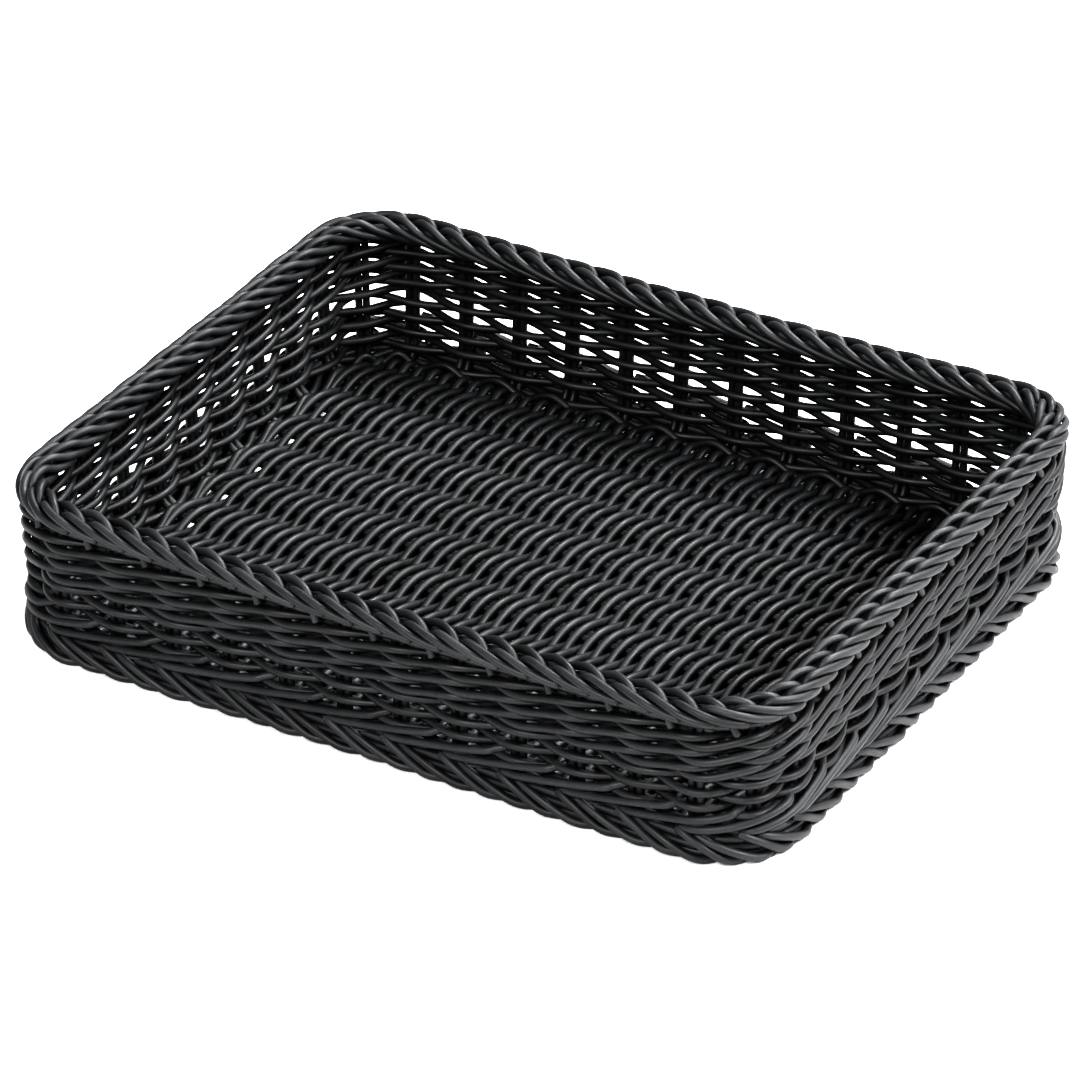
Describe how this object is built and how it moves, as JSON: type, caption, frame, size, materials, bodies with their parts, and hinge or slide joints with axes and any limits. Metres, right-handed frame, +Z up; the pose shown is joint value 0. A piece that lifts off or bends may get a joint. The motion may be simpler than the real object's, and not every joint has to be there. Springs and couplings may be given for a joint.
{
  "type": "bread basket",
  "caption": "Shallow rectangular bread basket woven from round black plastic strand, with round corners, a rolled rim border and a rolled foot border.",
  "frame": {"origin": "the middle of the basket's footprint, on the surface that it stands on", "axes": "+X along the long side, +Y along the short side, +Z up through the open top"},
  "size_m": [0.325, 0.265, 0.067],
  "materials": {
    "wall_and_floor_strand": "round extruded polypropylene strand in near black, matte with a soft sheen and fine draw lines along its length",
    "border_strand": "the same near black matte strand, a little paler where the rim and the foot are handled and rubbed"
  },
  "bodies": {
    "root": {"corner_pair_1": "wall_and_floor_strand", "corner_pair_2": "wall_and_floor_strand", "corner_pair_3": "wall_and_floor_strand", "corner_pair_4": "wall_and_floor_strand", "crosswise_pair_01": "wall_and_floor_strand", "crosswise_pair_02": "wall_and_floor_strand", "crosswise_pair_03": "wall_and_floor_strand", "crosswise_pair_04": "wall_and_floor_strand", "crosswise_pair_05": "wall_and_floor_strand", "crosswise_pair_06": "wall_and_floor_strand", "crosswise_pair_07": "wall_and_floor_strand", "crosswise_pair_08": "wall_and_floor_strand", "crosswise_pair_09": "wall_and_floor_strand", "crosswise_pair_10": "wall_and_floor_strand", "crosswise_pair_11": "wall_and_floor_strand", "crosswise_pair_12": "wall_and_floor_strand", "floor_weave_01": "wall_and_floor_strand", "floor_weave_02": "wall_and_floor_strand", "floor_weave_03": "wall_and_floor_strand", "floor_weave_04": "wall_and_floor_strand", "floor_weave_05": "wall_and_floor_strand", "floor_weave_06": "wall_and_floor_strand", "floor_weave_07": "wall_and_floor_strand", "floor_weave_08": "wall_and_floor_strand", "floor_weave_09": "wall_and_floor_strand", "floor_weave_10": "wall_and_floor_strand", "floor_weave_11": "wall_and_floor_strand", "floor_weave_12": "wall_and_floor_strand", "floor_weave_13": "wall_and_floor_strand", "foot_border": "border_strand", "lengthwise_pair_01": "wall_and_floor_strand", "lengthwise_pair_02": "wall_and_floor_strand", "lengthwise_pair_03": "wall_and_floor_strand", "lengthwise_pair_04": "wall_and_floor_strand", "lengthwise_pair_05": "wall_and_floor_strand", "lengthwise_pair_06": "wall_and_floor_strand", "lengthwise_pair_07": "wall_and_floor_strand", "lengthwise_pair_08": "wall_and_floor_strand", "lengthwise_pair_09": "wall_and_floor_strand", "rim_border": "border_strand", "wall_course_1_inner": "wall_and_floor_strand", "wall_course_1_outer": "wall_and_floor_strand", "wall_course_2_inner": "wall_and_floor_strand", "wall_course_2_outer": "wall_and_floor_strand", "wall_course_3_inner": "wall_and_floor_strand", "wall_course_3_outer": "wall_and_floor_strand", "wall_course_4_inner": "wall_and_floor_strand", "wall_course_4_outer": "wall_and_floor_strand", "wall_course_5_inner": "wall_and_floor_strand", "wall_course_5_outer": "wall_and_floor_strand", "wall_course_6_inner": "wall_and_floor_strand", "wall_course_6_outer": "wall_and_floor_strand"}
  },
  "joints": []
}
